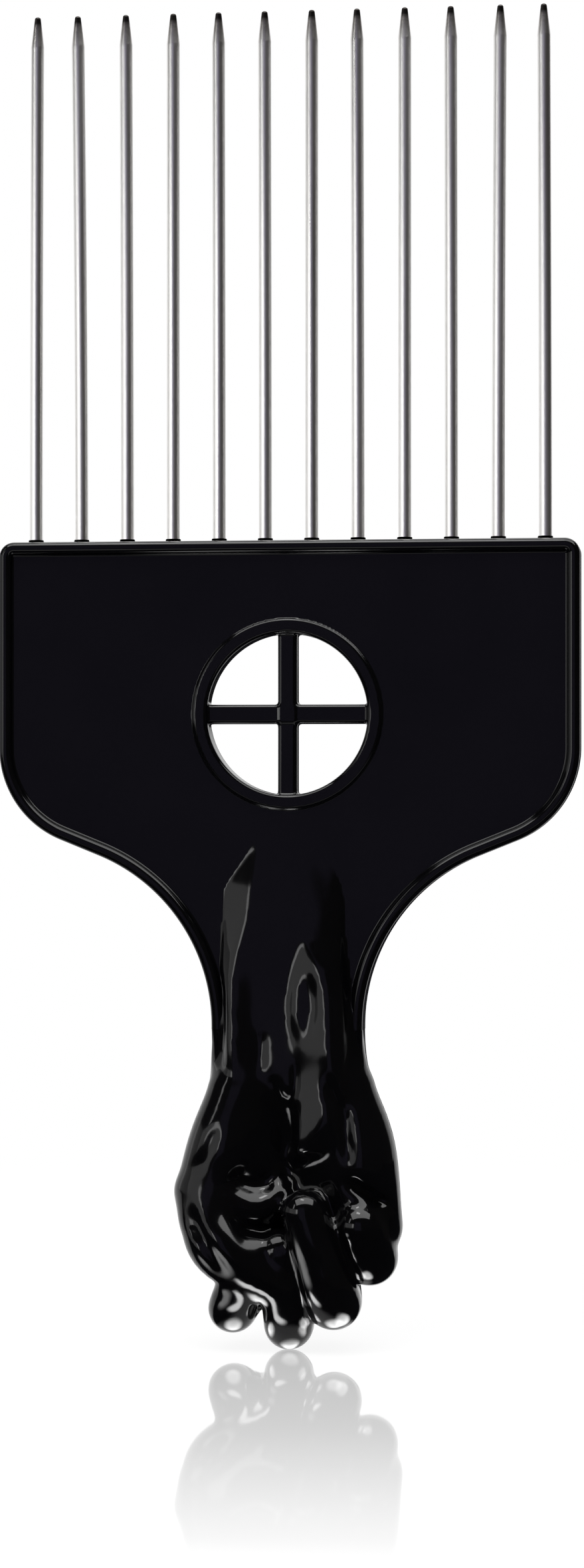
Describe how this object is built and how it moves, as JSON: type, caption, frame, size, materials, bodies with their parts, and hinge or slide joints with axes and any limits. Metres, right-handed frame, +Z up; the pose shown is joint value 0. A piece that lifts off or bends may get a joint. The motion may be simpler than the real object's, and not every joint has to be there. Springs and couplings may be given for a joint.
{
  "type": "afro pick",
  "caption": "Long-toothed hair pick: steel tines moulded into a flat plastic plate with a crossed round window and a handle shaped as a closed fist.",
  "frame": {"origin": "under the middle of the lowest knuckle, at the bottom centre of the whole pick as it is shown upright", "axes": "+X across the plate, +Y from the palm side to the back of the hand, +Z up from the fist along the tines"},
  "size_m": [0.072, 0.0176, 0.165],
  "materials": {
    "black_plastic": "high-gloss injection-moulded black",
    "steel_wire": "bright drawn wire with ground points"
  },
  "bodies": {
    "root": {"handle": "black_plastic", "tine_01": "steel_wire", "tine_02": "steel_wire", "tine_03": "steel_wire", "tine_04": "steel_wire", "tine_05": "steel_wire", "tine_06": "steel_wire", "tine_07": "steel_wire", "tine_08": "steel_wire", "tine_09": "steel_wire", "tine_10": "steel_wire", "tine_11": "steel_wire", "tine_12": "steel_wire"}
  },
  "joints": []
}
